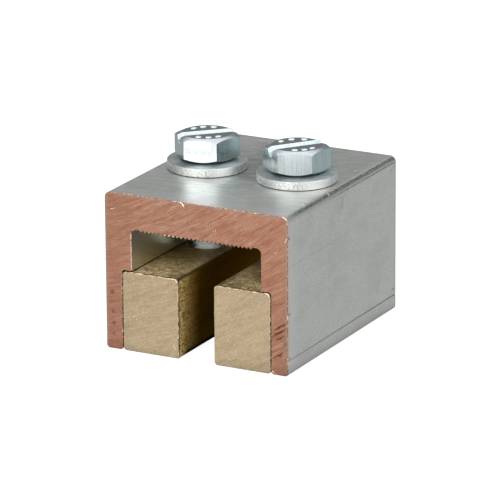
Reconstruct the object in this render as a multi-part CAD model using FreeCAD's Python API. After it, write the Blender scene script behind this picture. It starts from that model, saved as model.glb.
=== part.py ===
"""Busbar connector: a tinned copper channel that joins two T-shaped busbars end to end.

The busbars' flanges butt together in the cavity under the toothed web, and their webs stand in
the slot between two brass clamp bars. A bolt on each side of the slot draws its bar up.
The front, where the busbar goes in, faces -Y, and the feet stand on z = 0. Millimetres.
"""
import FreeCAD, Part
import math
import os

from FreeCAD import Vector

# Channel, a drawn profile sawn to length
channel_width = 45.0
channel_length = 53.0
channel_height = 36.0
web_thickness = 7.9
leg_thickness = 6.5
skirt_thickness = 4.1
shoulder_height = 18.5
crown_radius = 1.4
cavity_radius = 1.2
rebate_radius = 0.6
foot_radius = 0.8

# Teeth that bite the busbar, drawn along the whole underside of the web
tooth_pitch = 1.0
tooth_height = 0.4
tooth_count = 28

# Fine drawn line low on both outer sides
line_height = 3.5
line_width = 0.3
line_depth = 0.15

# Clamp bars, which hang in the rebates under the shoulders, with the webs' slot between them
bar_width = 13.8
bar_side_gap = 0.15
bar_top_gap = 0.25
bar_corner_radius = 0.8

# Slotted hexagon-head bolts, each set in from the outer side of its clamp bar
bolt_edge_distance = 7.05
bolt_diameter = 8.0
bolt_length = 35.0
bolt_tip_chamfer = 1.0
head_across_flats = 13.0
head_height = 5.45
head_face_diameter = 12.35
head_chamfer_angle = 30.0
head_slot_width = 2.7
head_slot_floor_width = 1.3
head_slot_depth = 2.0
head_turn = {"left": -45.8, "right": -37.0}

# Conical spring washers
washer_diameter = 18.0
washer_thickness = 2.0
washer_rise = 0.6

# Fits around the bolts, on the diameter
web_hole_clearance = 1.0
washer_bore_clearance = 0.4
thread_clearance = 0.1
bar_hole_countersink = 0.5

# Places that follow from the sizes above
half_width = channel_width / 2
half_cavity = half_width - leg_thickness
half_rebate = half_width - skirt_thickness
web_underside = channel_height - web_thickness
bar_outer = half_rebate - bar_side_gap
bar_inner = bar_outer - bar_width
bar_height = shoulder_height - bar_top_gap
bolt_from_centre = bar_outer - bolt_edge_distance
washer_height = washer_thickness + washer_rise
side_sign = {"left": -1, "right": 1}


def rounded_face(corners):
    """Face in the XZ plane through (x, z, radius) corners, each rounded to its radius."""
    count = len(corners)
    runs = []
    for i in range(count):
        x, z, radius = corners[i]
        corner = Vector(x, 0, z)
        if radius == 0:
            runs.append((corner, corner, corner))
            continue
        before = Vector(corners[i - 1][0], 0, corners[i - 1][1]) - corner
        after = Vector(corners[(i + 1) % count][0], 0, corners[(i + 1) % count][1]) - corner
        half_angle = before.getAngle(after) / 2
        before.normalize()
        after.normalize()
        reach = radius / math.tan(half_angle)
        bisector = before + after
        bisector.normalize()
        middle = corner + bisector * (radius / math.sin(half_angle) - radius)
        runs.append((corner + before * reach, middle, corner + after * reach))
    edges = []
    for i in range(count):
        start, middle, end = runs[i]
        if corners[i][2] > 0:
            edges.append(Part.Arc(start, middle, end).toShape())
        edges.append(Part.makeLine(end, runs[(i + 1) % count][0]))
    return Part.Face(Part.Wire(edges))


def drawn_profile(corners):
    """Bar of one section as long as the channel, centred on y = 0."""
    face = rounded_face(corners)
    face.translate(Vector(0, -channel_length / 2, 0))
    return face.extrude(Vector(0, channel_length, 0))


def turned(section):
    """Solid of revolution about the Z axis from (radius, z, corner radius) points."""
    return rounded_face(section).revolve(Vector(0, 0, 0), Vector(0, 0, 1), 360)


def bolt_place(side):
    """Point on the bolt's axis at the top face of the channel."""
    return Vector(side_sign[side] * bolt_from_centre, 0, channel_height)


def tooth_row():
    """Corners of the teeth under the web, from the right to the left."""
    start = tooth_pitch * tooth_count / 2
    corners = [(start, web_underside, 0)]
    for i in range(tooth_count):
        tip = start - tooth_pitch * (i + 0.5)
        corners.append((tip, web_underside - tooth_height, 0))
        corners.append((tip - tooth_pitch / 2, web_underside, 0))
    return corners


def side_line():
    """Corners of the V-shaped line on the right side, from the bottom up."""
    return [
        (half_width, line_height - line_width / 2, 0),
        (half_width - line_depth, line_height, 0),
        (half_width, line_height + line_width / 2, 0),
    ]


def right_flank():
    """Corners of the right leg, from the shoulder's inner edge round the foot to the crown."""
    return [
        (half_cavity, web_underside, cavity_radius),
        (half_cavity, shoulder_height, 0),
        (half_rebate, shoulder_height, rebate_radius),
        (half_rebate, 0, foot_radius),
        (half_width, 0, foot_radius),
        *side_line(),
        (half_width, channel_height, crown_radius),
    ]


def channel():
    right = right_flank()
    left = [(-x, z, radius) for x, z, radius in reversed(right)]
    body = drawn_profile(right + left + list(reversed(tooth_row())))
    for side in side_sign:
        hole = Part.makeCylinder((bolt_diameter + web_hole_clearance) / 2, channel_height)
        hole.translate(bolt_place(side) - Vector(0, 0, channel_height))
        body = body.cut(hole)
    return body


def clamp_bar(side):
    sign = side_sign[side]
    bar = drawn_profile([
        (sign * bar_inner, 0, bar_corner_radius),
        (sign * bar_outer, 0, bar_corner_radius),
        (sign * bar_outer, bar_height, bar_corner_radius),
        (sign * bar_inner, bar_height, bar_corner_radius),
    ])
    radius = (bolt_diameter + thread_clearance) / 2
    mouth = radius + bar_hole_countersink
    tapped_hole = turned([
        (0, 0, 0),
        (mouth, 0, 0),
        (radius, bar_hole_countersink, 0),
        (radius, bar_height - bar_hole_countersink, 0),
        (mouth, bar_height, 0),
        (0, bar_height, 0),
    ])
    tapped_hole.translate(bolt_place(side) - Vector(0, 0, channel_height))
    return bar.cut(tapped_hole)


def spring_washer(side):
    bore = (bolt_diameter + washer_bore_clearance) / 2
    rim = washer_diameter / 2
    washer = turned([
        (bore, washer_rise, 0),
        (rim, 0, 0),
        (rim, washer_thickness, 0),
        (bore, washer_height, 0),
    ])
    washer.translate(bolt_place(side))
    return washer


def hexagon_head():
    """Head with its underside at z = 0, chamfered round both faces, a corner on the X axis."""
    corner = head_across_flats / 2 / math.cos(math.radians(30))
    points = []
    for i in range(7):
        angle = math.radians(60 * i)
        points.append(Vector(corner * math.cos(angle), corner * math.sin(angle), 0))
    prism = Part.Face(Part.makePolygon(points)).extrude(Vector(0, 0, head_height))
    face = head_face_diameter / 2
    fall = (corner - face) * math.tan(math.radians(head_chamfer_angle))
    blank = turned([
        (0, 0, 0),
        (face, 0, 0),
        (corner, fall, 0),
        (corner, head_height - fall, 0),
        (face, head_height, 0),
        (0, head_height, 0),
    ])
    return prism.common(blank)


def head_slot():
    """Tapered slot across two flats of the head."""
    floor = head_height - head_slot_depth
    section = rounded_face([
        (-head_slot_floor_width / 2, floor, 0),
        (head_slot_floor_width / 2, floor, 0),
        (head_slot_width / 2, head_height, 0),
        (-head_slot_width / 2, head_height, 0),
    ])
    section.translate(Vector(0, -head_across_flats, 0))
    return section.extrude(Vector(0, 2 * head_across_flats, 0))


def bolt(side):
    radius = bolt_diameter / 2
    shank = turned([
        (0, 0, 0),
        (0, -bolt_length, 0),
        (radius - bolt_tip_chamfer, -bolt_length, 0),
        (radius, bolt_tip_chamfer - bolt_length, 0),
        (radius, 0, 0),
    ])
    solid = hexagon_head().cut(head_slot()).fuse(shank).removeSplitter()
    solid.rotate(Vector(0, 0, 0), Vector(0, 0, 1), head_turn[side])
    solid.translate(bolt_place(side) + Vector(0, 0, washer_height))
    return solid


pieces = {"channel": channel()}
for side in side_sign:
    pieces[f"clamp_bar_{side}"] = clamp_bar(side)
    pieces[f"spring_washer_{side}"] = spring_washer(side)
    pieces[f"bolt_{side}"] = bolt(side)

os.makedirs("parts", exist_ok=True)
for name, shape in pieces.items():
    shape.exportStep(f"parts/{name}.step")
    print(name, shape.ShapeType, len(shape.Solids), "solid,", round(shape.Volume), "mm3,", shape.isValid())
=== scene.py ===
"""Busbar connector: a tinned copper channel with two brass clamp bars, drawn up by slotted
hexagon bolts over conical spring washers. It stands on a pale studio table.

Places come from the frame, and sizes are millimetres until MM turns them into metres.
"""

import math
from functools import partial

import bmesh
import bpy
from mathutils import Matrix, Vector


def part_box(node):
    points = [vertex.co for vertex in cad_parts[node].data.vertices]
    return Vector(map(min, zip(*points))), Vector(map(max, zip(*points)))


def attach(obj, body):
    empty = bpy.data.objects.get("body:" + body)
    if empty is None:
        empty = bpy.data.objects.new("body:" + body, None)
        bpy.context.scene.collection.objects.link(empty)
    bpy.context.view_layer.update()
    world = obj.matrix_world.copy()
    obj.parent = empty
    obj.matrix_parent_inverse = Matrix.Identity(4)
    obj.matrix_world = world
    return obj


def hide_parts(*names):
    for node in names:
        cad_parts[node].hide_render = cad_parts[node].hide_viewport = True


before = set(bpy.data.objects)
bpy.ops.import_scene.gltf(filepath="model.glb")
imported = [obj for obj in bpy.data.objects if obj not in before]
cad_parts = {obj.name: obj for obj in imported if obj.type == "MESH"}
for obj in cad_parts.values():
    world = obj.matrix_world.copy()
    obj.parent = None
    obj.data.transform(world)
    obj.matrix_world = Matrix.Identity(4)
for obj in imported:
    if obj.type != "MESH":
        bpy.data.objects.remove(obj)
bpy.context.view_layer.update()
scene = bpy.context.scene
MM = 0.001

# ---- Camera ----
# A long lens, turned a little to the right of the front and looking down on the channel.
# Its place, lens and slight roll were worked out from the photograph's perspective.

camera_azimuth = math.radians(27.90)
camera_elevation = math.radians(17.47)
camera_roll = math.radians(-0.385)
camera_distance = 968.4 * MM
camera_lens = 313.44
aim_across = -0.5735 * MM
aim_height = 18.186 * MM


def new_object(name, data):
    """An object of that name, in the scene."""
    thing = bpy.data.objects.new(name, data)
    scene.collection.objects.link(thing)
    return thing


sideways = Vector((math.cos(camera_azimuth), math.sin(camera_azimuth), 0))
towards_camera = Vector((
    math.sin(camera_azimuth) * math.cos(camera_elevation),
    -math.cos(camera_azimuth) * math.cos(camera_elevation),
    math.sin(camera_elevation),
))
upwards = towards_camera.cross(sideways)
rolled_side = sideways * math.cos(camera_roll) + upwards * math.sin(camera_roll)
rolled_up = upwards * math.cos(camera_roll) - sideways * math.sin(camera_roll)
aim = sideways * aim_across + Vector((0, 0, aim_height))
camera_place = aim + towards_camera * camera_distance

camera = new_object("camera", bpy.data.cameras.new("camera"))
camera.data.sensor_width = 36
camera.data.lens = camera_lens
camera.data.clip_start = 0.05
camera.data.clip_end = 50
rotation = Matrix((rolled_side, rolled_up, towards_camera)).transposed()
camera.matrix_world = Matrix.Translation(camera_place) @ rotation.to_4x4()
scene.camera = camera
scene.view_settings.view_transform = "Standard"

# ---- Studio ----
# A white table, and wide soft light from the front left and overhead, as for a catalogue
# picture. The camera sees both as plain white paper, and the metal mirrors their real greys.


def linear(sheet_colour):
    """An sRGB colour such as "C09078" as the linear red, green, blue and alpha of a socket."""
    channels = [int(sheet_colour[i:i + 2], 16) / 255 for i in (0, 2, 4)]
    return [c / 12.92 if c < 0.04045 else ((c + 0.055) / 1.055) ** 2.4 for c in channels] + [1]


def set_sockets(node, sockets):
    """Gives a node's sockets values or links, from a tuple in their order or a dictionary."""
    for key, value in (sockets if isinstance(sockets, dict) else dict(enumerate(sockets))).items():
        if isinstance(value, bpy.types.Node):
            value = value.outputs[0]
        if isinstance(value, bpy.types.NodeSocket):
            node.id_data.links.new(value, node.inputs[key])
        else:
            node.inputs[key].default_value = value


def add_node(tree, kind, sockets=(), stops=(), **settings):
    """Adds a node to a tree with its settings and what its sockets hold.

    Its kind is the node's type without "ShaderNode" or the like before it, and an operation
    may follow. Stops are a colour ramp's (place, hex colour) pairs.
    """
    kind, *operation = kind.split()
    types = (family + kind for family in ("ShaderNode", "GeometryNode", "FunctionNode", ""))
    node = tree.nodes.new(next(name for name in types if hasattr(bpy.types, name)))
    if operation:
        node.operation = operation[0]
    for name, value in settings.items():
        setattr(node, name, value)
    set_sockets(node, sockets)
    for i, (position, sheet_colour) in enumerate(stops):
        elements = node.color_ramp.elements
        element = elements[i] if i < len(elements) else elements.new(position)
        element.position, element.color = position, linear(sheet_colour)
    return node


def lobe(add, direction, centre, start, full, strength):
    """Light that grows as a direction nears the centre, between two cosines."""
    cosine = add("VectorMath DOT_PRODUCT", (direction, Vector(centre).normalized()))
    return add("MapRange", (
        cosine.outputs["Value"], start, full, 0, strength), interpolation_type="SMOOTHSTEP")


def all_light(add, direction, lobes, everywhere):
    """The light of all the lobes in a direction, with what comes from everywhere."""
    light, *others = (lobe(add, direction, *each) for each in lobes)
    for other in (*others, everywhere):
        light = add("Math ADD", (light, other))
    return light


# Each light's centre, the cosines at which it starts and is full, and its strength: in the
# room the key light, one from the right and one overhead, and on the table front and left
key_centre = (-0.235, -0.895, 0.36)
room_lobes = [
    (key_centre, 0.55, 0.96, 1.75), ((0.93, -0.2, 0.32), 0.6, 0.93, 1.2),
    ((0, 0.09, 1), 0.55, 0.9, 1.1)]
room_light = 0.27
table_lobes = [((-0.08, -1, 0), 0.64, 0.985, 0.64), ((-1, 0.1, 0), 0.5, 0.99, 0.2)]
table_light = 0.55
shadow_depth = 0.07
shadow_start, shadow_end = 3 * MM, -4 * MM
light_in_shadow = 0.03
channel_low, channel_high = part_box("channel")

world = bpy.data.worlds.new("studio")
world.use_nodes = True
scene.world = world
world.node_tree.nodes.clear()
add = partial(add_node, world.node_tree)
light = all_light(add, add("TexCoord").outputs["Generated"], room_lobes, room_light)
room = add("Background", (linear("FCFEFF"), light))
paper = add("Background", (linear("FFFFFF"), 1.0))
seen = add("LightPath").outputs["Is Camera Ray"]
add("OutputWorld", (add("MixShader", (seen, room, paper)),))

table_reach = 3.0
floor_mesh = bpy.data.meshes.new("table")
floor_mesh.from_pydata([
    (-table_reach, -table_reach, 0), (table_reach, -table_reach, 0),
    (table_reach, table_reach, 0), (-table_reach, table_reach, 0)], [], [(0, 1, 2, 3)])
floor = new_object("table", floor_mesh)
table_paper = bpy.data.materials.new("table_paper")
table_paper.use_nodes = True
table_paper.node_tree.nodes.clear()
add = partial(add_node, table_paper.node_tree)
place = add("TexCoord").outputs["Object"]
light = all_light(add, add("VectorMath NORMALIZE", (place,)), table_lobes, table_light)
# Under the channel the table lies in its shadow
beside = add("VectorMath ABSOLUTE", (place,))
beside = add("VectorMath SUBTRACT", (beside, channel_high))
beside = add("SeparateXYZ", (beside,)).outputs
beside = add("Math MAXIMUM", (beside["X"], beside["Y"]))
open_table = add("MapRange", (beside, shadow_end, shadow_start, light_in_shadow, 1))
light = add("Math MULTIPLY", (light, open_table))
mirrored = add("Emission", (linear("FDFEFE"), light))
white = add("Emission", (linear("FFFFFF"), 1 - shadow_depth))
shaded = add("BsdfDiffuse", ([shadow_depth * 3] * 3 + [1],))
lit = add("AddShader", (white, shaded))
shown = add("MixShader", (add("LightPath").outputs["Is Camera Ray"], mirrored, lit))
# From below the table is clear, so that the underside can be looked at
under = add("NewGeometry").outputs["Backfacing"]
add("OutputMaterial", (add("MixShader", (under, shown, add("BsdfTransparent"))),))
floor.data.materials.append(table_paper)

softbox_power = 5
softbox_size = 0.9
softbox_distance = 1.6
softbox_place = Vector(key_centre).normalized() * softbox_distance
softbox = new_object("softbox", bpy.data.lights.new("softbox", "AREA"))
softbox.data.energy = softbox_power
softbox.data.size = softbox_size
softbox.location = softbox_place
softbox.rotation_euler = (-softbox_place).to_track_quat("-Z", "Y").to_euler()

# ---- Channel ----
# Copper drawn through a die, tinned all round and then sawn to length, so the two ends are
# bare copper with saw marks, and a thin burr stands along their edges.

half_width = channel_high.x / MM
channel_top = channel_high.z / MM
front_end = channel_low.y / MM
back_end = -front_end
half_cavity = 16.0
web_underside = 28.1
crown_radius = 1.4
side_line_height = 3.5
under_crown_line = 34.7
faint_line = 24.6
teeth_reach = 14.05
teeth_middle = 27.9
teeth_half_height = 0.25
teeth_stretch = 1.4
teeth_edge_share = 0.35
edge_break = 0.09
merge_reach = 0.001
flat_angle = math.radians(0.5)
crease_angle = math.radians(25)
spot_rag = 0.9
rags_per_mm = 2.2


def new_metal(name, roughness):
    """A metal's material, what adds its nodes, its shader and its place in millimetres."""
    metal = bpy.data.materials.new(name)
    metal.use_nodes = True
    shader = metal.node_tree.nodes["Principled BSDF"]
    set_sockets(shader, {"Metallic": 1, "Roughness": roughness})
    add = partial(add_node, metal.node_tree)
    place = add("TexCoord").outputs["Object"]
    return metal, add, shader, add("VectorMath SCALE", {0: place, "Scale": 1 / MM})


def grain(add, place, size, detail=3, roughness=0.55, distortion=0.0):
    """A pattern whose grain is that many millimetres along X, Y and Z."""
    spread = add("VectorMath MULTIPLY", (place, [1 / s for s in size]))
    return add("TexNoise", {
        "Vector": spread, "Scale": 1, "Detail": detail, "Roughness": roughness,
        "Distortion": distortion})


def saw_marks(add, place, blade, across, along):
    """A pattern drawn out along circles round the saw blade's centre (x, z), seen along Y."""
    offset = add("VectorMath SUBTRACT", (place, (blade[0], 0, blade[1])))
    x, y, z = add("SeparateXYZ", (offset,)).outputs
    flat = add("VectorMath MULTIPLY", (offset, (1, 0, 1)))
    radius = add("VectorMath LENGTH", (flat,)).outputs["Value"]
    turn = add("Math ARCTAN2", (z, x))
    arc = add("Math MULTIPLY", (turn, math.hypot(*blade)))
    unrolled = add("CombineXYZ", (radius, arc, y))
    return grain(add, unrolled, (across, along, 5), detail=4, roughness=0.62, distortion=1.1)


def near_spots(add, place, spots, stretch=(1, 1, 1)):
    """1 at the heart of any (x, y, z, radius) spot, falling to 0 at its ragged rim."""
    ragged = add("TexNoise", {"Vector": place, "Scale": rags_per_mm, "Detail": 2})
    moved = add("VectorMath MULTIPLY_ADD", (ragged.outputs["Color"], [spot_rag] * 3, place))
    most = 0.0
    for *middle, radius in spots:
        middle = [along + spot_rag / 2 for along in middle]
        offset = add("VectorMath SUBTRACT", (moved, middle))
        offset = add("VectorMath MULTIPLY", (offset, stretch))
        distance = add("VectorMath LENGTH", (offset,)).outputs["Value"]
        share = add("MapRange", (distance, radius, 0.3 * radius))
        most = add("Math MAXIMUM", (share, most))
    return most


def coated(add, paint, coats):
    """The paint under coats of (hex colour, pattern, most, low, high), the last one on top.

    Where its pattern goes from low to high, or else from 0 to 1, a coat goes from nothing to
    its most.
    """
    for sheet_colour, pattern, most, *ends in coats:
        share = add("MapRange", (pattern, *(ends or (0, 1)), 0, most))
        paint = add("Mix", {
            0: share, 6: paint, 7: linear(sheet_colour)}, data_type="RGBA").outputs[2]
    return paint


def dress(add, shader, paint, bumps, strength, depth, **more):
    """Gives a metal's shader its paint, bumps of that depth in millimetres, and more."""
    relief = add("Bump", {"Height": bumps, "Strength": strength, "Distance": depth * MM})
    set_sockets(shader, {"Base Color": paint, "Normal": relief, **more})


# Tin plating on drawn copper: a satin grey skin with a few drawn lines. The crown is scuffed
# dark and pitted, and the skin turns bluish by the sawn ends. Its grain is really finer than
# 0.1 mm, and is drawn at 0.3 to 0.5 mm to show.
tin_specks = [
    (22.5, 25.2, 5.0, 0.45), (22.5, 24.0, 33.3, 0.35), (22.5, -25.9, 14.0, 0.45),
    (22.5, -25.8, 4.0, 0.5), (22.5, -25.9, 31.2, 0.5), (-22.5, 12.0, 20.0, 0.45),
    (-22.5, -9.0, 8.0, 0.4), (21.1, -15.4, 36.0, 0.45), (22.5, -2.1, 28.6, 0.25)]
tin_glints = [
    (19.6, 11.7, 36.0, 0.4), (20.4, 19.1, 36.0, 0.4), (22.1, -6.1, 35.6, 0.4),
    (21.2, -16.2, 36.0, 0.4)]
tin_scored = [(22.5, -1.0, 32.2, 1.8), (-22.5, 3.0, 24.0, 1.5)]
tinned, add, shader, place = new_metal("tin_plating_drawn", 0.38)
x, y, z = add("SeparateXYZ", (place,)).outputs
across = add("Math ABSOLUTE", (x,))
fine = grain(add, place, (0.32, 0.45, 0.32), roughness=0.7)
cloudy = grain(add, place, (4, 7, 4), detail=2)
drawn = grain(add, place, (0.2, 30, 0.2), detail=2)
# Painted shade darkens the top between the bolts. Inside the cavity the tin is painted paler, as
# painted light, and yellowish low down, as a painted reflection of the brass bars
shade_between_bolts = add("VectorMath SUBTRACT", (place, (0, 5, 0)))
shade_between_bolts = add("VectorMath MULTIPLY", (shade_between_bolts, (0.09, 0.06, 0)))
shade_between_bolts = add("VectorMath LENGTH", (shade_between_bolts,)).outputs["Value"]
inside = add("MapRange", (across, half_cavity + 0.5, half_cavity + 0.2))
indoors = add("MapRange", (z, web_underside + 2, web_underside + 1, 0, inside))
painted_brass_reflection = add("MapRange", (z, web_underside - 2, web_underside - 9, 0, indoors))
# A file or a belt scratched the top. The scratches fade to the right, where the skin is duller
slanted = add("VectorRotate", {"Vector": place, "Angle": math.radians(-14)}, rotation_type="Z_AXIS")
brushed = grain(add, slanted, (6, 0.28, 6), roughness=0.6, distortion=0.5)
on_top = add("MapRange", (z, channel_top - 0.3, channel_top - 0.05))
duller = add("MapRange", (x, 4, 16, 0, on_top))
fading = add("MapRange", (duller, 0, 1, 1, 0.55))
patchy = grain(add, place, (9, 6, 9), detail=1)
patchy = add("MapRange", (patchy, 0.3, 0.5, 0, on_top))
patchy = add("Math MULTIPLY", (patchy, fading))
scratch = add("MapRange", (brushed, 0.50, 0.64, 0, patchy))
score = add("MapRange", (brushed, 0.47, 0.34, 0, patchy))
# The scuff follows the way round the crown, from 0 at the top to a quarter turn
beyond = add("Math SUBTRACT", (across, half_width - crown_radius))
above = add("Math SUBTRACT", (z, channel_top - crown_radius))
round_crown = add("Math ARCTAN2", (beyond, above))
pits = grain(add, place, (0.4, 0.8, 0.4), detail=5, roughness=0.8)
wavering = add("Math MULTIPLY_ADD", (pits, 0.8, round_crown))
outer_part = add("MapRange", (wavering, 1.56, 1.30))
scuff = add("MapRange", (wavering, 0.76, 0.94, 0, outer_part))
glint = add("MapRange", (pits, 0.58, 0.62, 0, scuff))
pitted = add("MapRange", (pits, 0.42, 0.5, 0.2, 1))
scuff = add("Math MULTIPLY", (scuff, pitted))
# A pale, slightly streaked band lies by the front end
near_end = add("MapRange", (y, front_end + 6, front_end + 0.5))
streaks = grain(add, place, (0.5, 0.35, 9), detail=2)
streaked = add("MapRange", (streaks, 0.36, 0.64, 0, near_end))
# Dirt fills the drawn line low on the sides, and a patch high on each side is scored upright
off_line = add("Math SUBTRACT", (z, side_line_height))
off_line = add("Math ABSOLUTE", (off_line,))
outside = add("MapRange", (across, half_width - 0.5, half_width - 0.3))
worn_off = add("MapRange", (y, front_end + 2, front_end + 40, 0.15, outside))
low_line = add("MapRange", (off_line, 0.16, 0.08, 0, worn_off))
scored_patch = near_spots(add, place, tin_scored, (0.3, 1.1, 0.6))
upright = grain(add, place, (0.3, 0.3, 1.4), detail=2)
scored_dark = add("MapRange", (upright, 0.5, 0.6, 0, scored_patch))
scored_bright = add("MapRange", (upright, 0.47, 0.38, 0, scored_patch))
# Painted shade lies nearly black low down between the legs and the bars
beside_bar = add("MapRange", (across, half_width - 3.6, half_width - 3.9))
gap_shade = add("MapRange", (z, 13, 9, 0, beside_bar))
# Two more drawn lines: one under the crown towards the back, and a hardly visible one lower down
more_lines = []
for line_height, full, gone, least, thick, darkness in (
        (under_crown_line, 3, -8, 0.2, 0.24, 0.95), (faint_line, -8, 6, 0, 0.24, 0.2)):
    off_line = add("Math SUBTRACT", (z, line_height))
    off_line = add("Math ABSOLUTE", (off_line,))
    worn_off = add("MapRange", (y, gone, full, least, 1))
    worn_off = add("Math MULTIPLY", (worn_off, outside))
    worn_off = add("MapRange", (pits, 0.62, 0.46, 0.2, worn_off))
    in_line = add("MapRange", (off_line, thick, thick / 4, 0, worn_off))
    more_lines.append(("6C6C66", in_line, darkness))
paint = add("ValToRGB", (fine,), [(0.3, "C3C5C1"), (0.5, "D3D5D0"), (0.68, "DFE1DE")])
paint = coated(add, paint, [
    ("BEC0B9", cloudy, 0.36, 0.42, 0.66),
    ("A6A7A0", drawn, 0.3, 0.66, 0.74),
    ("878C89", shade_between_bolts, 0.75, 1.4, 0.4),
    ("F2F0DC", indoors, 0.9),
    ("E0D090", painted_brass_reflection, 0.6),
    ("A2A39C", duller, 0.2),
    ("F2F2EE", scratch, 0.7),
    ("8A8A82", score, 0.6),
    ("44463E", scuff, 0.8),
    ("F4F4F0", glint, 0.9),
    ("FAFAF6", near_spots(add, place, tin_glints), 0.9),
    ("D8D6D6", near_end, 0.6),
    ("EEECEE", streaked, 0.5),
    # Copper shows through at the front edge, and the back edge is a dark line
    ("ECC6AA", y, 0.5, front_end + 1.8, front_end + 0.2),
    ("5A5A56", y, 0.6, back_end - 0.45, back_end - 0.3),
    ("5C5C56", low_line, 0.5),
    ("4A4A44", near_spots(add, place, tin_specks), 0.8),
    ("64645E", scored_dark, 0.75),
    ("F0EEEA", scored_bright, 0.7),
    ("181410", gap_shade, 0.85),
    *more_lines])
bumps = add("Math MULTIPLY_ADD", (drawn, 0.4, fine))
bumps = add("Math MULTIPLY_ADD", (scratch, 0.6, bumps))
bumps = add("Math MULTIPLY_ADD", (scuff, -1.5, bumps))
filmed = add("MapRange", (indoors, 0, 1, 1, 0.87))
polished = add("MapRange", (indoors, 0, 1, 0.38, 0.22))
dress(add, shader, paint, bumps, 0.5, 0.02, Metallic=filmed, Roughness=polished)

# Sawn copper: matt brown-pink with red and tan blotches, arcs from a circular saw and pits. A
# saw's marks are about 0.1 mm apart, and are drawn 0.16 mm apart, in bands 1.1 mm wide.
copper_blade = (-58, 136)
copper_strokes = [
    (23.4, front_end, -2.3, 0.55), (22.5, front_end, -3.3, 0.6), (21.8, front_end, -4.5, 0.45),
    (19.1, front_end, -7.5, 0.5)]
copper_dents = [
    (-20.9, front_end, 13.1, 0.75), (-20.8, front_end, 8.6, 0.6), (-20.6, front_end, 5.9, 0.7),
    (-20.7, front_end, 3.5, 0.6), (20.6, front_end, 4.6, 0.7), (21.9, front_end, 7.4, 0.6)]
copper, add, shader, place = new_metal("copper_sawn", 0.5)
x, y, z = add("SeparateXYZ", (place,)).outputs
across = add("Math ABSOLUTE", (x,))
bands = saw_marks(add, place, copper_blade, 1.1, 11)
thin = saw_marks(add, place, copper_blade, 0.16, 5)
blotch = grain(add, place, [3.5] * 3, roughness=0.6)
speckle = grain(add, place, [0.3] * 3, roughness=0.7)
# The saw marks are fainter on the legs than on the web
dark_marks = add("MapRange", (across, 13, 17, 0.62, 0.42))
bright_marks = add("MapRange", (across, 13, 17, 0.5, 0.26))
# The right leg is dirtier towards the foot and has a few deep strokes, the left one small dents
near_foot = add("MapRange", (z, 28, 14))
dirty = add("MapRange", (x, 15, 17, 0, near_foot))
smut = add("MapRange", (blotch, 0.35, 0.6, 0.2, dirty))
rising = add("VectorRotate", {"Vector": place, "Angle": math.radians(34)}, rotation_type="Y_AXIS")
strokes = near_spots(add, rising, copper_strokes, (0.2, 1, 1.5))
# The blade smeared a little tin over the outer edge
to_side = add("Math SUBTRACT", (half_width, across))
to_top = add("Math SUBTRACT", (channel_top, z))
to_edge = add("Math MINIMUM", (to_side, to_top))
to_edge = add("Math MULTIPLY_ADD", (blotch, -0.6, to_edge))
paint = add("ValToRGB", (bands,), [(0.34, "966653"), (0.5, "A27660"), (0.66, "AC846D")])
paint = coated(add, paint, [
    ("9C6650", blotch, 0.5, 0.5, 0.66),
    ("6A4436", thin, dark_marks, 0.48, 0.32),
    ("D2AC97", thin, bright_marks, 0.53, 0.68),
    ("5A342A", speckle, 0.6, 0.40, 0.28),
    ("E8D0C0", speckle, 0.6, 0.64, 0.75),
    ("6E4A3A", smut, 0.22),
    ("7E5442", x, 0.12, -15, -17),
    ("4A2418", strokes, 0.8),
    ("5A3024", near_spots(add, place, copper_dents), 0.6),
    ("94887C", to_edge, 0.6, 0.5, -0.2)])
marks = add("Math ADD", (bands, thin))
marks = add("Math MULTIPLY_ADD", (speckle, 0.5, marks))
dress(add, shader, paint, marks, 0.5, 0.03)

# Broken edge of the sawn ends: torn copper, bright and dark by turns
torn, add, shader, place = new_metal("sawn_edge_torn", 0.35)
patches = grain(add, place, [0.6] * 3, roughness=0.7)
set_sockets(shader, {"Base Color": add("ValToRGB", (patches,), [
    (0.40, "4A3028"), (0.52, "946C58"), (0.62, "E8D4C8"), (0.72, "F4ECE4")])})

# Burrs: flakes of bright metal that the saw left standing
burr_metal, add, shader, place = new_metal("burr_bright", 0.3)
shine = grain(add, place, [0.3] * 3)
set_sockets(shader, {
    "Base Color": add("ValToRGB", (shine,), [(0.35, "D0B09A"), (0.6, "F8E6D8")])})


def shape_of(node):
    """A CAD node's shape with its loose triangles merged and its flat faces made whole."""
    shape = bmesh.new()
    shape.from_mesh(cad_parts[node].data)
    bmesh.ops.remove_doubles(shape, verts=shape.verts, dist=merge_reach * MM)
    bmesh.ops.dissolve_limit(shape, angle_limit=flat_angle, verts=shape.verts, edges=shape.edges)
    return shape


def piece_of(shape, name, metals):
    """A piece from a shape, smooth except at its creases, with its materials in slots."""
    mesh = bpy.data.meshes.new(name)
    shape.normal_update()
    shape.to_mesh(mesh)
    shape.free()
    if "custom_normal" in mesh.attributes:
        mesh.attributes.remove(mesh.attributes["custom_normal"])
    mesh.polygons.foreach_set("use_smooth", [True] * len(mesh.polygons))
    mesh.set_sharp_from_angle(angle=crease_angle)
    for metal in metals:
        mesh.materials.append(metal)
    return new_object(name, mesh)


def modify(piece, name, kind, **settings):
    """Gives a piece a modifier with these settings."""
    modifier = piece.modifiers.new(name, kind)
    for setting, value in settings.items():
        setattr(modifier, setting, value)
    return modifier


def finished(piece):
    """The piece with its modifiers made into its plain mesh."""
    view = bpy.context.evaluated_depsgraph_get()
    mesh = bpy.data.meshes.new_from_object(piece.evaluated_get(view), depsgraph=view)
    piece.modifiers.clear()
    piece.data = mesh
    return piece


def mark_sawn_ends(shape):
    """Gives the end faces material 1, and marks their edges for a bevel."""
    weight = shape.edges.layers.float.new("bevel_weight_edge")
    for face in shape.faces:
        face.material_index = 1 if abs(face.normal.y) > 0.9 else 0
    for edge in shape.edges:
        kinds = {face.material_index for face in edge.link_faces}
        edge[weight] = 1.0 if len(kinds) == 2 else 0.0


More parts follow.
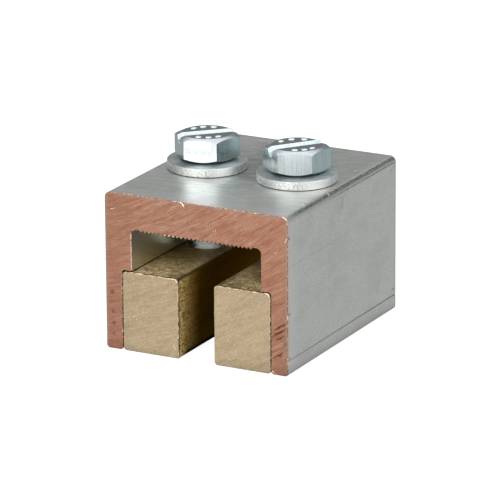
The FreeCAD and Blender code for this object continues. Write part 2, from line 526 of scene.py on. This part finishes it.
def sawn_piece(shape, name, metals):
    """A piece from a shape, its marked edges broken and in the third of its metals."""
    piece = piece_of(shape, name, metals)
    modify(piece, "broken_edge", "BEVEL", limit_method="WEIGHT", width=edge_break * MM,
           segments=2, material=2, use_clamp_overlap=False)
    return finished(piece)


def new_group(name, sizes, has_shape=False):
    """A geometry node group with named number inputs, what adds its nodes, and its inputs."""
    tree = bpy.data.node_groups.new(name, "GeometryNodeTree")
    if has_shape:
        tree.interface.new_socket("Shape", in_out="INPUT", socket_type="NodeSocketGeometry")
    for label, value in sizes.items():
        socket = tree.interface.new_socket(label, in_out="INPUT", socket_type="NodeSocketFloat")
        socket.default_value = value
    tree.interface.new_socket("Made", in_out="OUTPUT", socket_type="NodeSocketGeometry")
    add = partial(add_node, tree)
    return tree, add, add("NodeGroupInput").outputs


def grown(name, tree, sizes, mesh=None):
    """A piece made by a node group with these sizes, as a plain mesh."""
    piece = new_object(name, mesh or bpy.data.meshes.new(name))
    maker = modify(piece, "maker", "NODES", node_group=tree)
    for socket in tree.interface.items_tree:
        if socket.in_out == "INPUT" and socket.name in sizes:
            maker[socket.identifier] = sizes[socket.name]
    return finished(piece)


def burr_group(name, metal, seed):
    """Node group that stands seeded flakes at random places along a shape's edges."""
    tree, add, size = new_group(name, {"Spacing": 0.3, "Share": 0.2, "Largest": 0.1}, True)
    line = add("MeshToCurve", (size["Shape"],))
    spacing = add("Math MULTIPLY", (size["Spacing"], MM))
    points = add("ResampleCurve", {"Curve": line, "Length": spacing}, mode="LENGTH")
    chosen = add("RandomValue", {
        "Probability": size["Share"], "Seed": seed}, data_type="BOOLEAN").outputs[3]
    flake = add("MeshIcoSphere", {"Radius": 1, "Subdivisions": 1})
    turn = add("RandomValue", {
        0: (0, 0, 0), 1: [math.tau] * 3, "Seed": seed + 1}, data_type="FLOAT_VECTOR")
    largest = add("Math MULTIPLY", (size["Largest"], MM))
    least = add("VectorMath SCALE", {0: (0.3, 0.2, 0.2), "Scale": largest})
    most = add("VectorMath SCALE", {0: (2.0, 0.8, 0.6), "Scale": largest})
    scale = add("RandomValue", {0: least, 1: most, "Seed": seed + 2}, data_type="FLOAT_VECTOR")
    flakes = add("InstanceOnPoints", {
        "Points": points, "Selection": chosen, "Instance": flake, "Rotation": turn, "Scale": scale})
    real = add("RealizeInstances", (flakes,))
    # None reaches below the feet
    spot = add("VectorMath MAXIMUM", (add("InputPosition"), (-1, -1, 0)))
    raised = add("SetPosition", {"Geometry": real, "Position": spot})
    made = add("SetMaterial", {"Geometry": raised, "Material": metal})
    add("NodeGroupOutput", (made,))
    return tree


def end_outline(shape, name):
    """The edges round a shape's sawn ends, as a mesh of edges alone."""
    outline = shape.copy()
    sides = [face for face in outline.faces if abs(face.normal.y) < 0.9]
    bmesh.ops.delete(outline, geom=sides, context="FACES")
    bmesh.ops.delete(outline, geom=outline.faces[:], context="FACES_ONLY")
    mesh = bpy.data.meshes.new(name)
    outline.to_mesh(mesh)
    outline.free()
    return mesh


def flakes_at(name, places):
    """Flakes on the front end at (x, z, length, thickness, degrees up from the X axis)."""
    shape = bmesh.new()
    for x, z, length, thick, turn in places:
        place = Matrix.Translation(Vector((x, front_end, z)) * MM)
        turned_up = Matrix.Rotation(-math.radians(turn), 4, "Y")
        size = Matrix.Diagonal((length / 2 * MM, thick * 0.4 * MM, thick / 2 * MM, 1))
        bmesh.ops.create_icosphere(
            shape, subdivisions=2, radius=1, matrix=place @ turned_up @ size)
    return piece_of(shape, name, [burr_metal])


burrs = burr_group("saw_burrs", burr_metal, 5)
shape = shape_of("channel")
outline = end_outline(shape, "channel_outline")
mark_sawn_ends(shape)
# The teeth keep sharper edges than the rest of the outline, and stand out a little more
teeth = {
    corner for corner in shape.verts
    if abs(corner.co.z / MM - teeth_middle) < teeth_half_height
    and abs(corner.co.x / MM) < teeth_reach}
weight = shape.edges.layers.float["bevel_weight_edge"]
for edge in shape.edges:
    if teeth.issuperset(edge.verts):
        edge[weight] *= teeth_edge_share
for corner in teeth:
    above = corner.co.z / MM - teeth_middle
    corner.co.z = (teeth_middle + above * teeth_stretch) * MM
channel = sawn_piece(shape, "channel_drawn", [tinned, copper, torn])
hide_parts("channel")
channel_burrs = grown(
    "channel_burrs", burrs, {"Spacing": 0.4, "Share": 0.10, "Largest": 0.09}, outline)
channel_flakes = flakes_at("channel_flakes", [
    (-15.7, 35.95, 0.5, 0.2, 0), (-20.7, 32.2, 0.7, 0.13, 5), (-20.1, 32.4, 0.4, 0.12, 30),
    (-3.4, 35.8, 0.9, 0.35, -25), (-2.9, 35.3, 0.9, 0.4, -55), (22.2, 35.5, 0.9, 0.2, -55),
    (21.6, 35.9, 0.9, 0.16, -25), (22.42, 34.6, 1.0, 0.14, -86), (22.25, 31.0, 0.9, 0.3, 65),
    (21.9, 30.4, 0.4, 0.2, 40), (18.9, 0.6, 0.8, 0.22, -45), (19.6, 0.25, 0.5, 0.15, -10),
    (22.45, 13.4, 1.2, 0.16, 88), (22.45, 11.6, 0.6, 0.14, 85), (4.47, 30.57, 0.7, 0.1, 88),
    (4.98, 30.7, 0.8, 0.1, 86), (19.6, 27.7, 0.5, 0.15, 25), (20.0, 28.0, 0.3, 0.12, 60),
    (-16.02, 26.4, 1.5, 0.3, 91), (-16.05, 25.0, 1.1, 0.16, 86), (-16.0, 23.6, 1.9, 0.26, 90),
    (-16.06, 22.4, 0.8, 0.18, 95), (-16.02, 21.0, 2.1, 0.24, 89), (-16.0, 19.4, 1.1, 0.28, 92),
    (-7.6, 27.9, 0.5, 0.16, 0), (-6.6, 27.9, 0.5, 0.18, 10), (-5.5, 27.85, 0.5, 0.2, 0),
    (-4.6, 27.9, 0.3, 0.14, 0), (-3.6, 27.85, 0.5, 0.16, -10), (22.45, 4.0, 1.0, 0.14, 88),
    (22.45, 8.6, 0.6, 0.12, 90)])
for piece in (channel, channel_burrs, channel_flakes):
    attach(piece, "channel")

# ---- Clamp bars ----
# Brass bar sawn to the channel's length, with one tapped M8 hole down through its middle.
# The sides keep the brown mill skin, and the ends show bright saw marks.

bar_corners = {"left": (0.8, 0.8, 0.8, 0.3), "right": (0.8, 0.8, 0.8, 0.8)}
corner_steps = 8
bolt_radius = 4.0
thread_pitch = 1.25
thread_depth = 0.767
thread_steps = 48
thread_rows = 16
tap_clearance = 0.08
tap_overrun = 0.5
hole_mouth = 4.55

# Mill skin: brown and in places dull from oxide, rough as orange peel and scored along the
# bar. The peel's grain is 0.5 to 1 mm, and the scores are drawn 0.3 mm wide to show.
brass, add, shader, place = new_metal("brass_mill_skin", 0.45)
x, y, z = add("SeparateXYZ", (place,)).outputs
across = add("Math ABSOLUTE", (x,))
off_middle = add("Math ABSOLUTE", (y,))
facing = add("SeparateXYZ", (add("TexCoord").outputs["Normal"],)).outputs
peel = grain(add, place, (0.9, 0.9, 0.45), detail=5, roughness=0.7)
cloudy = grain(add, place, (2.5, 6, 2.5))
scored = grain(add, place, (0.3, 5, 0.3), distortion=0.5)
skin = add("Math MULTIPLY_ADD", (cloudy, 0.6, peel))
skin = add("MapRange", (skin, 0.6, 1.0))
# Deep in the slot the sides are painted dark as shade, most of all at the back and high up, and
# painted shade lies along their lower edge
in_slot = add("MapRange", (facing["Z"], -0.9, -0.5, 0.3, 1))
deep = add("MapRange", (off_middle, back_end - 1, back_end - 10, 0, in_slot))
deepest_shade = add("MapRange", (deep, 0.5, 1, 0, 0.7))
high_shade = add("MapRange", (z, 9, 16, 0, 0.55))
low_edge_shade = add("MapRange", (z, 1.3, 0.5, 0, in_slot))
sides = add("ValToRGB", (skin,), [(0.0, "9A7830"), (0.5, "F2CE84"), (1.0, "FFECB8")])
sides = coated(add, sides, [
    ("A88418", deep, 0.88),
    ("3A360A", y, deepest_shade, -8, 14),
    ("26280C", y, high_shade, -18, -9),
    ("161204", off_middle, low_edge_shade, back_end - 1, back_end - 4)])
# On top lies a dull film of oxide, rubbed through in places. The right bar's is darker and more
# speckled, and both are darker towards the slot. Painted shade darkens the tops towards the middle
# of their length, under the channel's web
on_top = add("MapRange", (facing["Z"], 0.5, 0.9))
rubbed_and_highlight = grain(add, place, (3, 0.8, 3), distortion=0.6)
speckled = grain(add, place, (0.3, 0.9, 0.3), roughness=0.7)
clouds = add("MapRange", (x, -1, 1, 0.1, 0.6))
specks = add("MapRange", (x, -1, 1, 0.5, 0.75))
by_slot = add("MapRange", (across, 9, 5.5, 0, 0.65))
film = add("ValToRGB", (peel,), [(0.34, "AA8C58"), (0.5, "F0D49C"), (0.64, "FFF0CC")])
film = coated(add, film, [
    ("5E4210", off_middle, 0.8, back_end - 5, back_end - 18),
    ("4A3818", rubbed_and_highlight, 0.6, 0.46, 0.36),
    ("4A3818", cloudy, clouds, 0.56, 0.44),
    ("2E2410", speckled, specks, 0.47, 0.38),
    ("4A4420", off_middle, by_slot, back_end - 8, back_end - 2)])
paint = add("Mix", {0: on_top, 6: sides, 7: film}, data_type="RGBA").outputs[2]
# Dirt fills the pits and lies behind each end's broken edge. The rounded edges are darker, and
# painted shade lies nearly black under the channel's shoulders
pits = grain(add, place, (1.0, 1.0, 0.5), detail=4, roughness=0.75)
dirt = add("MapRange", (deep, 0, 0.8, 0.92, 0.1))
behind_edge = add("MapRange", (off_middle, back_end - 0.85, back_end - 0.6))
behind_edge = add("MapRange", (cloudy, 0.35, 0.5, 0, behind_edge))
edgewise = add("MapRange", (facing["Z"], 0.97, 0.85))
edgewise = add("MapRange", (facing["Z"], 0.15, 0.45, 0, edgewise))
shoulder_shade = add("MapRange", (facing["Z"], -1, 0.5, 0, 0.95))
paint = coated(add, paint, [
    ("3A2C10", scored, 0.7, 0.58, 0.70),
    ("2A1E08", pits, dirt, 0.48, 0.41),
    ("1E1606", behind_edge, 0.6),
    ("2A1E08", edgewise, 0.75),
    ("120E06", across, shoulder_shade, half_cavity - 0.1, half_cavity + 0.05)])
dull_end = add("MapRange", (deep, 0, 1, 0.9, 0))
dull = add("Math MAXIMUM", (on_top, dull_end))
bare = add("MapRange", (dull, 0, 1, 1, 0.3))
bumps = add("Math MULTIPLY_ADD", (scored, -0.5, peel))
dress(add, shader, paint, bumps, 0.7, 0.08, Metallic=bare)
set_sockets(shader, {"Specular Tint": linear("C4AC68")})

# Sawn brass: matt tan with fine arcs, fainter on the right bar. The saw's marks are about
# 0.1 mm apart, and are drawn 0.22 mm apart, in bands 1.2 mm wide.
brass_blade = (-60, 130)
brass_cut, add, shader, place = new_metal("brass_sawn", 0.5)
bands = saw_marks(add, place, brass_blade, 1.2, 10)
marks = saw_marks(add, place, brass_blade, 0.22, 4.5)
speckle = grain(add, place, [0.3] * 3, roughness=0.7)
x = add("SeparateXYZ", (place,)).outputs["X"]
dark_marks = add("MapRange", (x, -1, 1, 0.6, 0.36))
bright_marks = add("MapRange", (x, -1, 1, 0.46, 0.28))
paint = add("ValToRGB", (bands,), [(0.35, "A08F72"), (0.65, "AE9B80")])
paint = coated(add, paint, [
    ("80684A", marks, dark_marks, 0.46, 0.32),
    ("CCB898", marks, bright_marks, 0.54, 0.70),
    ("846A48", speckle, 0.5, 0.44, 0.30),
    ("D8C8AC", speckle, 0.4, 0.56, 0.68),
    ("F4ECD8", speckle, 0.6, 0.70, 0.77)])
marks = add("Math MULTIPLY_ADD", (speckle, 0.5, marks))
dress(add, shader, paint, marks, 0.5, 0.03)

# Broken edge of the brass: dark where the skin folded over, bright where it tore
brass_torn, add, shader, place = new_metal("brass_edge_torn", 0.35)
patches = grain(add, place, [0.6] * 3, roughness=0.7)
set_sockets(shader, {"Base Color": add("ValToRGB", (patches,), [
    (0.42, "2C2010"), (0.52, "A88C5C"), (0.6, "EADCB8"), (0.7, "F6F0DC")])})


def thread_group(name, metal):
    """Node group for a right-hand thread: a helical strip one pitch wide, with closed ends.

    Heights and radii are millimetres. Turns are counted from height 0, so that every thread
    made by it on one axis is in mesh with every other.
    """
    tree, add, size = new_group(name, {
        "Major radius": bolt_radius, "Depth": thread_depth, "Pitch": thread_pitch, "Low": 0,
        "High": 10, "Tip radius": 3, "Mouth radius": 0, "Neck radius": 0, "Neck length": -10,
        "First turn": 0, "Turns": 10})
    columns = add("Math MULTIPLY_ADD", (size["Turns"], thread_steps, 1))
    strip = add("MeshGrid", (1, 1, columns, thread_rows + 1))
    spot = add("SeparateXYZ", (add("InputPosition"),)).outputs
    along = add("Math ADD", (spot["X"], 0.5))
    along = add("Math MULTIPLY", (along, size["Turns"]))
    share = add("Math ADD", (spot["Y"], 0.5))
    angle = add("Math MULTIPLY", (along, math.tau))
    turns_up = add("Math ADD", (along, share))
    turns_up = add("Math ADD", (turns_up, size["First turn"]))
    height = add("Math MULTIPLY", (turns_up, size["Pitch"]))
    height = add("Math MAXIMUM", (height, size["Low"]))
    height = add("Math MINIMUM", (height, size["High"]))
    # Flat crest an eighth of the pitch wide, flat root a quarter, and straight flanks between
    off_crest = add("Math SUBTRACT", (share, 0.625))
    off_crest = add("Math ABSOLUTE", (off_crest,))
    ridge = add("MapRange", (off_crest, 0.375, 0.0625))
    root = add("Math SUBTRACT", (size["Major radius"], size["Depth"]))
    radius = add("Math MULTIPLY_ADD", (ridge, size["Depth"], root))
    from_low = add("Math SUBTRACT", (height, size["Low"]))
    from_high = add("Math SUBTRACT", (size["High"], height))
    at_tip = add("Math ADD", (size["Tip radius"], from_low))
    radius = add("Math MINIMUM", (radius, at_tip))
    neck_start = add("Math ADD", (size["Neck length"], 0.6))
    neck = add("MapRange", (from_high, neck_start, size["Neck length"]))
    radius = add("Mix", {0: neck, 2: radius, 3: size["Neck radius"]})
    for depth in (from_low, from_high):
        mouth = add("Math SUBTRACT", (size["Mouth radius"], depth))
        radius = add("Math MAXIMUM", (radius, mouth))
    side = add("Math MULTIPLY", (radius, add("Math COSINE", (angle,))))
    front = add("Math MULTIPLY", (radius, add("Math SINE", (angle,))))
    wound = add("CombineXYZ", (side, front, height))
    helix = add("SetPosition", {"Geometry": strip, "Position": wound})
    low_radius = add("Math MINIMUM", (size["Tip radius"], root))
    joined = add("JoinGeometry", (helix,))
    for end, radius in ((size["Low"], low_radius), (size["High"], size["Neck radius"])):
        radius = add("Math MAXIMUM", (radius, size["Mouth radius"]))
        disc = add("MeshCircle", (thread_steps, radius), fill_type="NGON")
        lift = add("CombineXYZ", (0, 0, end))
        disc = add("Transform", {"Geometry": disc, "Translation": lift})
        if end == size["Low"]:
            disc = add("FlipFaces", (disc,))
        set_sockets(joined, (disc,))
    welded = add("MergeByDistance", {"Geometry": joined, "Distance": 0.002})
    metres = add("Transform", {"Geometry": welded, "Scale": [MM] * 3})
    real = add("RealizeInstances", (metres,))
    made = add("SetMaterial", {"Geometry": real, "Material": metal})
    add("NodeGroupOutput", (made,))
    return tree


def rounded_bar(low, high, corners):
    """A bar along Y between two corners of its box, its edges rounded from the upper right on."""
    shape = bmesh.new()
    rings = []
    for y in (low.y, high.y):
        ring = []
        for quarter, corner in enumerate(corners):
            corner *= MM
            x = high.x - corner if quarter in (0, 3) else low.x + corner
            z = high.z - corner if quarter < 2 else low.z + corner
            for step in range(corner_steps + 1):
                turn = math.pi / 2 * (quarter + step / corner_steps)
                ring.append(shape.verts.new((
                    x + corner * math.cos(turn), y, z + corner * math.sin(turn))))
        rings.append(ring)
    shape.faces.new(rings[0])
    shape.faces.new(list(reversed(rings[1])))
    for i in range(len(rings[0])):
        shape.faces.new((rings[0][i], rings[0][i - 1], rings[1][i - 1], rings[1][i]))
    bmesh.ops.recalc_face_normals(shape, faces=shape.faces)
    return shape


bar_flakes = {
    "left": [
        (-17.6, 18.0, 0.5, 0.14, 10), (-15.5, 18.15, 0.5, 0.1, 5), (-14.2, 18.12, 1.9, 0.13, -1),
        (-12.0, 18.14, 0.6, 0.09, 3), (-11.1, 18.1, 1.5, 0.15, 1), (-9.3, 18.14, 0.4, 0.09, -8),
        (-8.0, 18.12, 1.5, 0.12, -1), (-6.3, 18.12, 2.0, 0.1, 1), (-4.8, 17.75, 0.9, 0.3, -55),
        (-7.4, 17.95, 0.4, 0.12, 20), (-10.4, 17.9, 0.3, 0.1, -20), (-4.5, 16.4, 0.9, 0.14, 90),
        (-4.5, 13.5, 1.0, 0.16, 90), (-4.5, 9.0, 1.2, 0.14, 90), (-4.5, 5.2, 0.9, 0.14, 90),
        (-5.5, 2.6, 1.3, 0.12, -60), (-12.2, 9.6, 0.3, 0.14, 0), (-14.9, 7.6, 0.25, 0.13, 0),
        (-16.9, 14.2, 0.25, 0.1, 0), (-9.1, 4.4, 0.3, 0.1, 20)],
    "right": [
        (6.2, 18.1, 1.3, 0.1, 2), (8.3, 18.14, 0.4, 0.1, -6), (9.9, 18.12, 1.7, 0.12, 0),
        (12.9, 18.14, 0.6, 0.1, 4), (14.6, 18.1, 1.4, 0.13, -1), (17.3, 18.1, 0.6, 0.18, -20),
        (17.85, 17.7, 0.8, 0.26, -55), (18.2, 16.6, 0.8, 0.14, 90), (18.2, 12.6, 0.7, 0.12, 90),
        (18.2, 8.2, 0.9, 0.12, 90), (4.5, 12.0, 0.6, 0.1, 90), (9.4, 5.2, 0.3, 0.14, 40)],
}
tapping = thread_group("tapped_hole", brass)
for side in ("left", "right"):
    low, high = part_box(f"clamp_bar_{side}")
    axis = sum(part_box(f"spring_washer_{side}"), Vector()) / 2
    shape = rounded_bar(low, high, bar_corners[side])
    outline = end_outline(shape, f"bar_outline_{side}")
    mark_sawn_ends(shape)
    bar = sawn_piece(shape, f"clamp_bar_{side}_sawn", [brass, brass_cut, brass_torn])
    top = high.z / MM
    tap = grown(f"tap_{side}", tapping, {
        "Major radius": bolt_radius + tap_clearance, "Low": -tap_overrun,
        "High": top + tap_overrun, "Tip radius": 2 * bolt_radius,
        "Mouth radius": hole_mouth + tap_overrun, "First turn": -2.0,
        "Turns": math.ceil(top / thread_pitch) + 4.0})
    tap.data.transform(Matrix.Translation((axis.x, axis.y, 0)))
    modify(bar, "tapped_hole", "BOOLEAN", object=tap, operation="DIFFERENCE", solver="EXACT")
    finished(bar)
    bpy.data.objects.remove(tap)
    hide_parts(f"clamp_bar_{side}")
    bar_burrs = grown(
        f"bar_{side}_burrs", burrs, {"Spacing": 0.4, "Share": 0.12, "Largest": 0.08}, outline)
    for piece in (bar, bar_burrs, flakes_at(f"bar_{side}_flakes", bar_flakes[side])):
        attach(piece, f"clamp_bar_{side}")

# ---- Spring washers ----
# Conical washers pressed from spring steel and zinc plated, high in the middle, with the
# rim's edges slightly rounded by tumbling. They lie loose between channel and head.

bolt_from_centre = 11.2
washer_rise = 0.6
washer_thickness = 2.0
washer_bore = 4.2
washer_top_edge = 0.1
washer_bottom_edge = 0.26
turned_steps = 128

# Satin zinc on tumbled steel: light grey and matt. Its grain is really about 0.05 mm, and is
# drawn at 0.35 mm to show.
washer_zinc, add, shader, place = new_metal("zinc_plating_satin", 0.46)
x, y, z = add("SeparateXYZ", (place,)).outputs
facing = add("SeparateXYZ", (add("TexCoord").outputs["Normal"],)).outputs
fine = grain(add, place, [0.35] * 3, detail=4, roughness=0.7)
# The cone's upper face is painted darker and greener than the rim, as shade from the head, with
# pale patches
on_cone = add("MapRange", (facing["Z"], 0.7, 0.95))
patches = grain(add, place, [2.2] * 3, detail=2)
patches = add("MapRange", (patches, 0.48, 0.66, 0, on_cone))
# Both carry painted shade on the left of the bolt's axis, and a painted highlight at the right
# front
side_sign = add("Math SIGN", (x,))
from_axis = add("Math MULTIPLY_ADD", (side_sign, -bolt_from_centre, x))
far_left_shade = add("MapRange", (x, -1, 1, 0.33, 0.07))
far_left_shade = add("MapRange", (on_cone, 0, 1, far_left_shade, 0.08))
duller = add("MapRange", (from_axis, -5, -1.5, far_left_shade, 0.33))
rubbed_and_highlight = add("MapRange", (on_cone, 0, 1, 0.75, 0.18))
rubbed_and_highlight = add("MapRange", (y, -1, -4, 0, rubbed_and_highlight))
paint = add("ValToRGB", (fine,), [(0.34, "A6A8A6"), (0.5, "DCDDDC"), (0.64, "F8F7F6")])
paint = coated(add, paint, [
    ("98A8A6", on_cone, 0.76),
    ("D6D2D4", patches, 0.6),
    ("505250", from_axis, duller, 3.5, 0),
    ("FFFFFF", from_axis, rubbed_and_highlight, 4.5, 6.5),
    # Painted shade, nearly black, where it meets the channel
    ("26261F", z, 0.9, channel_top + 0.16, channel_top + 0.08)])
dress(add, shader, paint, fine, 0.35, 0.02)


def turned(corners):
    """A solid turned round the Z axis from (radius, height, edge) corners, rounded by edge."""
    outline = []
    for i, (radius, height, edge) in enumerate(corners):
        corner = Vector((radius, height))
        if edge == 0:
            outline.append(corner)
            continue
        before = (Vector(corners[i - 1][:2]) - corner).normalized()
        after = (Vector(corners[(i + 1) % len(corners)][:2]) - corner).normalized()
        reach = edge / math.tan(before.angle(after) / 2)
        start, end = corner + before * reach, corner + after * reach
        for step in range(corner_steps // 2 + 1):
            share = step / (corner_steps // 2)
            outline.append(start.lerp(corner, share).lerp(corner.lerp(end, share), share))
    shape = bmesh.new()
    rings = []
    for step in range(turned_steps):
        turn = math.tau * step / turned_steps
        rings.append([shape.verts.new((
            p.x * math.cos(turn) * MM, p.x * math.sin(turn) * MM, p.y * MM)) for p in outline])
    for a in range(turned_steps):
        b = (a + 1) % turned_steps
        for i in range(len(outline)):
            shape.faces.new((rings[a][i - 1], rings[b][i - 1], rings[b][i], rings[a][i]))
    bmesh.ops.remove_doubles(shape, verts=shape.verts, dist=merge_reach * MM)
    bmesh.ops.recalc_face_normals(shape, faces=shape.faces)
    return shape


for side in ("left", "right"):
    low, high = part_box(f"spring_washer_{side}")
    axis = (low + high) / 2
    rim = (high.x - low.x) / 2 / MM
    shape = turned([
        (washer_bore, washer_rise, washer_top_edge), (rim, 0, washer_bottom_edge),
        (rim, washer_thickness, washer_top_edge),
        (washer_bore, washer_thickness + washer_rise, washer_top_edge)])
    bmesh.ops.translate(shape, vec=(axis.x, axis.y, low.z), verts=shape.verts)
    washer = piece_of(shape, f"washer_{side}_conical", [washer_zinc])
    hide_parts(f"spring_washer_{side}")
    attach(washer, "channel")

# ---- Bolts ----
# Cold-forged hexagon heads with a sawn slot, and a rolled M8 thread almost up to the head.
# Zinc plated and blue passivated, which leaves a cool bright skin. The heads carry plain bars.

head_face_radius = 5.65
head_corner_radius = 7.51
head_chamfer = math.radians(21)
head_edge = 0.12
head_edge_angle = math.radians(15)
head_cut_height = 0.02
blank_depth = 10
mark_radius = 4.4
mark_rows = {"left": (-12, 30, -4, 31), "right": (-4, 28, -10, 37)}
head_turn = {"left": -45.8, "right": -37.0}
bolt_head_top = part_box("bolt_left")[1].z / MM
neck_length = 1.6
neck_radius = 3.6
neck_overrun = 0.2
tip_radius = 3.0

# Blue passivated zinc on forged steel: smooth, bright and cool, with drawn-out streaks down
# the sides. Its grain is really about 0.05 mm, and is drawn at 0.3 to 0.4 mm to show.
bolt_zinc, add, shader, place = new_metal("zinc_plating_blue", 0.24)
x, y, z = add("SeparateXYZ", (place,)).outputs
facing = add("SeparateXYZ", (add("TexCoord").outputs["Normal"],)).outputs
fine = grain(add, place, [0.4] * 3, detail=4, roughness=0.7)
streaks = grain(add, place, (0.3, 0.3, 12), detail=1)
patchy = grain(add, place, [5] * 3, detail=1)
on_right = add("MapRange", (x, -1, 1, 0.1, 0.9))
to_right = add("MapRange", (facing["X"], 0.6, 0.9, 0.1, 0.9))
on_right = add("Math MAXIMUM", (on_right, to_right))
streaked = add("MapRange", (patchy, 0.44, 0.56, 0.1, on_right))
skin = add("Math SUBTRACT", (streaks, 0.5))
skin = add("Math MULTIPLY_ADD", (skin, streaked, 0.5))
skin = add("Math MULTIPLY_ADD", (fine, 0.3, skin))
# Painted shade makes the right bolt a little greyer to the front and the left one darker where it
# faces the left, and faces turned right carry a painted bluish reflection
to_front = add("MapRange", (facing["Y"], -0.75, -0.93))
front_face_shade = add("MapRange", (x, -1, 1, 0, to_front))
left_face_shade = add("MapRange", (x, 1, -1, 0, 0.78))
# The flat top is duller, the chamfer round it lighter, and the raised marks are rubbed bright
dull = add("MapRange", (facing["Z"], 0.96, 0.99))
chamfered = add("MapRange", (facing["Z"], 0.98, 0.95))
chamfered = add("MapRange", (facing["Z"], 0.7, 0.85, 0, chamfered))
raised = add("MapRange", (z, bolt_head_top + 0.01, bolt_head_top + 0.05))
rubbed_and_highlight = add("MapRange", (raised, 0, 1, 0.24, 0.5))
paint = add("ValToRGB", (skin,), [(0.5, "BCC8CA"), (0.65, "D6DCDE"), (0.8, "ECECEE")])
paint = coated(add, paint, [
    ("A8B2B4", front_face_shade, 0.6),
    ("96BEC2", facing["X"], 0.5, 0.6, 0.95),
    ("647878", facing["X"], left_face_shade, -0.5, -0.66),
    ("94A6A8", dull, 0.7),
    ("C2C8CE", chamfered, 0.7),
    ("F2F8F8", raised, 1.0)])
dress(add, shader, paint, skin, 0.25, 0.02, Roughness=rubbed_and_highlight)

# The thread is zinc plated too, but rolled rougher than the forged head. Its paint stays pale at
# the front as a painted highlight, and painted shade darkens it round the back and sides.
thread_zinc, add, shader, place = new_metal("zinc_plating_rolled", 0.28)
x, y, z = add("SeparateXYZ", (place,)).outputs
fine = grain(add, place, [0.3] * 3, roughness=0.7)
side_sign = add("Math SIGN", (x,))
from_axis = add("Math MULTIPLY_ADD", (side_sign, -bolt_from_centre, x))
outward = add("CombineXYZ", (from_axis, y, 0))
outward = add("VectorMath NORMALIZE", (outward,))
front_highlight = lobe(add, outward, (0.42, -0.9, 0), 0.45, 0.96, 1)
plated = add("MapRange", (front_highlight, 0, 1, 0.8, 0.12))
paint = add("ValToRGB", (fine,), [(0.3, "E4ECEC"), (0.6, "FAFEFE")])
paint = coated(add, paint, [("4E5C5C", front_highlight, 0.6, 0.6, 0)])
dress(add, shader, paint, fine, 0.2, 0.02, Metallic=plated)


def mark_group(name, metal):
    """Node group for low rounded bars that stand on an arc to both sides of the slot."""
    tree, add, size = new_group(name, {
        "Radius": mark_radius, "Front turn": 0, "Front step": 0.5, "Back turn": 0,
        "Back step": 0.5, "Length": 0.8, "Width": 0.6, "Rise": 0.17, "Height": 44})
    dots = add("Points", {"Count": 6})
    index = add("InputIndex")
    in_row = add("Math MODULO", (index, 3))
    in_row = add("Math SUBTRACT", (in_row, 1))
    row = add("Math GREATER_THAN", (index, 2.5))
    front = add("Math MULTIPLY_ADD", (in_row, size["Front step"], size["Front turn"]))
    back = add("Math MULTIPLY_ADD", (in_row, size["Back step"], size["Back turn"]))
    angle = add("Mix", {0: row, 2: front, 3: back})
    spot = add("CombineXYZ", (add("Math COSINE", (angle,)), add("Math SINE", (angle,)), 0))
    spot = add("VectorMath SCALE", {0: spot, "Scale": size["Radius"]})
    lift = add("CombineXYZ", (0, 0, size["Height"]))
    placed = add("SetPosition", {"Geometry": dots, "Position": spot, "Offset": lift})
    ball = add("MeshUVSphere", (24, 12, 1))
    size_of_bar = add("CombineXYZ", (size["Width"], size["Length"], size["Rise"]))
    turn = add("CombineXYZ", (0, 0, angle))
    bars = add("InstanceOnPoints", {
        "Points": placed, "Instance": ball, "Scale": size_of_bar, "Rotation": turn})
    metres = add("Transform", {"Geometry": bars, "Scale": [MM] * 3})
    real = add("RealizeInstances", (metres,))
    smooth = add("SetShadeSmooth", (real,))
    made = add("SetMaterial", {"Geometry": smooth, "Material": metal})
    add("NodeGroupOutput", (made,))
    return tree


rolling = thread_group("rolled_thread", thread_zinc)
marking = mark_group("head_marks", bolt_zinc)
for side in ("left", "right"):
    low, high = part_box(f"bolt_{side}")
    washer_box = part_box(f"spring_washer_{side}")
    axis = sum(washer_box, Vector()) / 2
    underside = washer_box[1].z
    head_top = high.z / MM
    shape = shape_of(f"bolt_{side}")
    cut = bmesh.ops.bisect_plane(
        shape, geom=shape.verts[:] + shape.edges[:] + shape.faces[:], dist=merge_reach * MM,
        plane_co=(0, 0, underside - head_cut_height * MM), plane_no=(0, 0, -1),
        clear_outer=True)
    rim = [edge for edge in cut["geom_cut"] if isinstance(edge, bmesh.types.BMEdge)]
    bmesh.ops.contextual_create(shape, geom=rim)
    head = piece_of(shape, f"bolt_{side}_head", [bolt_zinc])
    # The forged chamfer reaches further in than a plain hexagon's, as a flat cone
    beyond = head_corner_radius + 1
    slope = math.tan(head_chamfer)
    shape = turned([
        (0, head_top - blank_depth, 0), (beyond, head_top - blank_depth, 0),
        (beyond, head_top - (beyond - head_face_radius) * slope, 0),
        (0, head_top + head_face_radius * slope, 0)])
    bmesh.ops.translate(shape, vec=(axis.x, axis.y, 0), verts=shape.verts)
    blank = piece_of(shape, f"blank_{side}", [bolt_zinc])
    modify(head, "forged_chamfer", "BOOLEAN", object=blank, operation="INTERSECT", solver="EXACT")
    modify(head, "forged_edge", "BEVEL", limit_method="ANGLE", angle_limit=head_edge_angle,
           width=head_edge * MM, segments=2, use_clamp_overlap=True)
    finished(head)
    bpy.data.objects.remove(blank)
    bottom = low.z / MM
    shank = grown(f"bolt_{side}_shank", rolling, {
        "Low": bottom, "High": underside / MM + neck_overrun, "Tip radius": tip_radius,
        "Mouth radius": 0.0, "Neck radius": neck_radius, "Neck length": neck_length,
        "First turn": math.floor(bottom / thread_pitch) - 1.0,
        "Turns": math.ceil((underside / MM - bottom) / thread_pitch) + 3.0})
    front_shift, front_step, back_shift, back_step = mark_rows[side]
    marks = grown(f"bolt_{side}_marks", marking, {
        "Front turn": math.radians(head_turn[side] + front_shift),
        "Front step": math.radians(front_step),
        "Back turn": math.radians(head_turn[side] + 180 + back_shift),
        "Back step": math.radians(back_step), "Height": head_top})
    for piece in (shank, marks):
        piece.data.transform(Matrix.Translation((axis.x, axis.y, 0)))
    for piece in (head, shank, marks):
        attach(piece, f"bolt_{side}")
    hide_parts(f"bolt_{side}")
